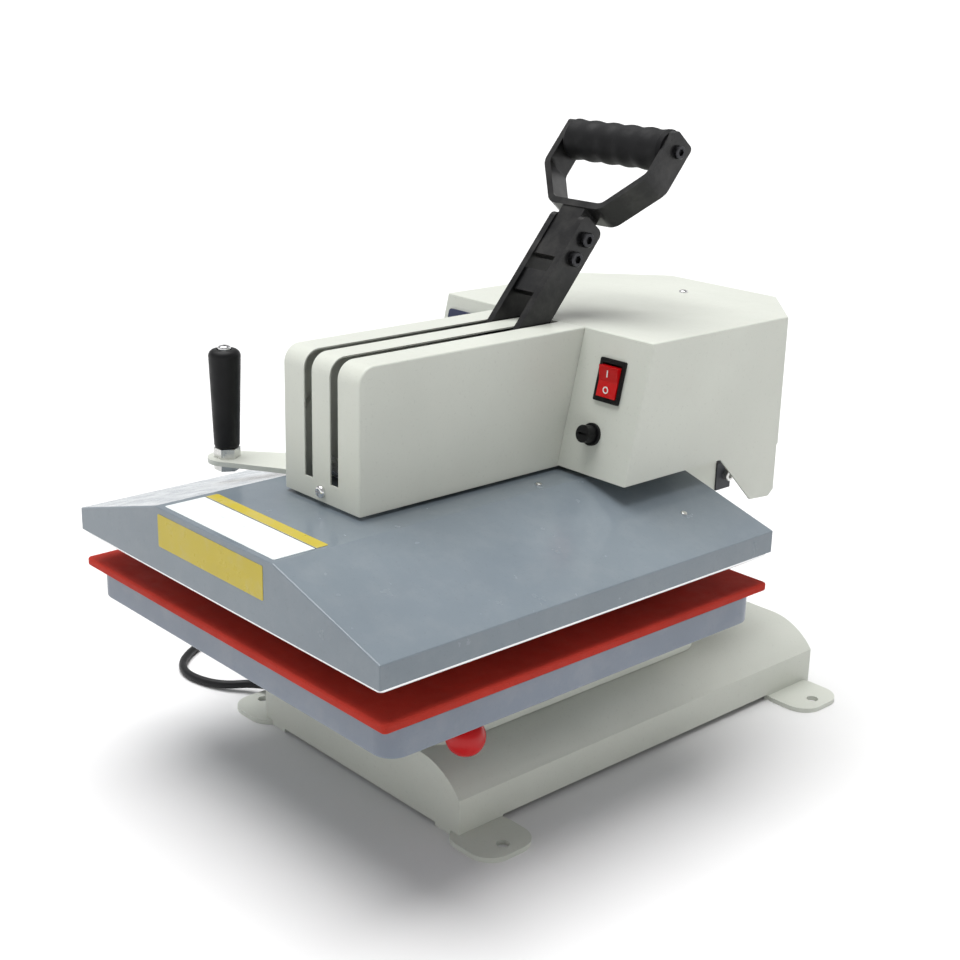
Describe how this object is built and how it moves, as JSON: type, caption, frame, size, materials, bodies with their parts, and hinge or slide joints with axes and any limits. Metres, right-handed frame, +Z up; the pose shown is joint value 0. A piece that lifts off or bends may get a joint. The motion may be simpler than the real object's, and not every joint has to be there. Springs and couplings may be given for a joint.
{
  "type": "swing-away flat heat press",
  "caption": "Swing-away flat heat press: heated upper platen under a lever arm on a rear post, padded lower platen on a pressed-steel base, control box behind.",
  "frame": {"origin": "on the bench, at the middle of the four bolt holes in the base tabs", "axes": "+Z up, -Y towards the user at the front, +X to the user's right"},
  "size_m": [0.5391, 0.7174, 0.5111],
  "materials": {
    "beige_paint": "satin powder coat",
    "grey_paint": "semi-gloss enamel",
    "platen_paint": "satin enamel",
    "silicone": "matt silicone",
    "aluminium": "machined",
    "steel": "machined",
    "zinc": "zinc plated",
    "chrome": "polished",
    "black_paint": "satin black enamel",
    "black_steel": "black oxide",
    "black_rubber": "matt",
    "black_plastic": "matt",
    "grey_plastic": "fine texture",
    "button_plastic": "gloss",
    "red_plastic": "gloss",
    "bronze": "turned",
    "iron": "as cast",
    "fibre": "woven glass fibre",
    "label_film": "laminated film",
    "cord_pvc": "matt sheath"
  },
  "bodies": {
    "base": {"base_tray": "beige_paint", "pedestal": "beige_paint", "post": "steel", "post_cap": "steel", "post_bolts": "black_steel", "thrust_washer": "bronze", "cord_gland": "black_plastic", "mains_cord": "cord_pvc", "cord_tail": "cord_pvc", "cord_coil": "cord_pvc", "mains_plug": "black_plastic"},
    "pressure_collar": {"pressure_collar": "steel", "collar_rod": "zinc", "ball_knob": "red_plastic"},
    "lower_platen": {"lower_platen": "platen_paint", "silicone_pad": "silicone", "platen_stem": "steel", "platen_screws": "black_steel"},
    "swing_arm": {"arm_side_plates": "beige_paint", "arm_spacers": "steel", "guide_block": "steel", "ram_bush": "bronze", "lever_pivot_pin": "steel", "swing_sleeve": "iron", "clamp_screw": "zinc", "arm_cover": "beige_paint", "cover_screws": "chrome", "control_box": "beige_paint", "box_floor_plates": "beige_paint", "display_module": "grey_plastic", "rocker_bezel": "black_plastic", "fuse_holder": "black_plastic", "handle_bracket": "beige_paint", "handle_spindle": "zinc", "handle_nut": "zinc", "handle_end_screw": "chrome", "return_springs": "steel"},
    "heated_platen": {"hood": "grey_paint", "hood_screws": "zinc", "hood_labels": "label_film", "heater_plate": "aluminium", "heating_element": "steel", "insulation": "fibre", "ram": "steel", "guide_rods": "steel"},
    "lever": {"lever_bars": "black_paint", "lever_cam": "steel", "lever_bow": "black_paint", "lever_bolts": "black_steel", "grip_core": "steel", "lever_grip": "black_rubber", "grip_end_screws": "black_steel"},
    "rocker": {"rocker_switch": "red_plastic"},
    "fuse_cap": {"fuse_cap": "black_plastic"},
    "set_button": {"set_button": "button_plastic"},
    "down_button": {"down_button": "button_plastic"},
    "up_button": {"up_button": "button_plastic"},
    "start_button": {"start_button": "button_plastic"},
    "swing_grip": {"swing_grip": "black_plastic"}
  },
  "joints": [
    {"name": "head_swing", "type": "hinge", "parent": "base", "child": "swing_arm", "pos_m": [0, 0.162, 0.25], "axis": [0, 0, 1], "range_deg": [0, 90]},
    {"name": "lever_swing", "type": "hinge", "parent": "swing_arm", "child": "lever", "pos_m": [0, -0.13137, 0.29], "axis": [1, 0, 0], "range_deg": [0, 142]},
    {"name": "head_slide", "type": "slide", "parent": "swing_arm", "child": "heated_platen", "axis": [0, 0, -1], "range_m": [0, 0.0214], "deforming": ["return_springs"]},
    {"name": "collar_turn", "type": "hinge", "parent": "base", "child": "pressure_collar", "pos_m": [0, -0.14, 0.11], "axis": [0, 0, 1], "range_deg": [-180, 0]},
    {"name": "platen_lift", "type": "slide", "parent": "base", "child": "lower_platen", "axis": [0, 0, 1], "range_m": [-0.002, 0]},
    {"name": "grip_spin", "type": "hinge", "parent": "swing_arm", "child": "swing_grip", "pos_m": [-0.133, -0.24, 0.3], "axis": [0, 0, 1], "continuous": true},
    {"name": "rocker_tilt", "type": "hinge", "parent": "swing_arm", "child": "rocker", "pos_m": [0.086, -0.01941, 0.32155], "axis": [1, 0, 0], "range_deg": [-16, 0]},
    {"name": "fuse_cap_turn", "type": "hinge", "parent": "swing_arm", "child": "fuse_cap", "pos_m": [0.078, -0.03157, 0.278], "axis": [0, -0.9741, 0.2261], "range_deg": [0, 90]},
    {"name": "set_press", "type": "slide", "parent": "swing_arm", "child": "set_button", "axis": [0, 0.9741, -0.2261], "range_m": [0, 0.0012], "stiffness_N_per_m": 400},
    {"name": "down_press", "type": "slide", "parent": "swing_arm", "child": "down_button", "axis": [0, 0.9741, -0.2261], "range_m": [0, 0.0012], "stiffness_N_per_m": 400},
    {"name": "up_press", "type": "slide", "parent": "swing_arm", "child": "up_button", "axis": [0, 0.9741, -0.2261], "range_m": [0, 0.0012], "stiffness_N_per_m": 400},
    {"name": "start_press", "type": "slide", "parent": "swing_arm", "child": "start_button", "axis": [0, 0.9741, -0.2261], "range_m": [0, 0.0012], "stiffness_N_per_m": 400}
  ],
  "couplings": [
    {"joint": "head_slide", "follows": "lever_swing", "m_per_rad": 0.0086346},
    {"joint": "collar_turn", "follows": "platen_lift", "rad_per_m": 1570.8}
  ]
}
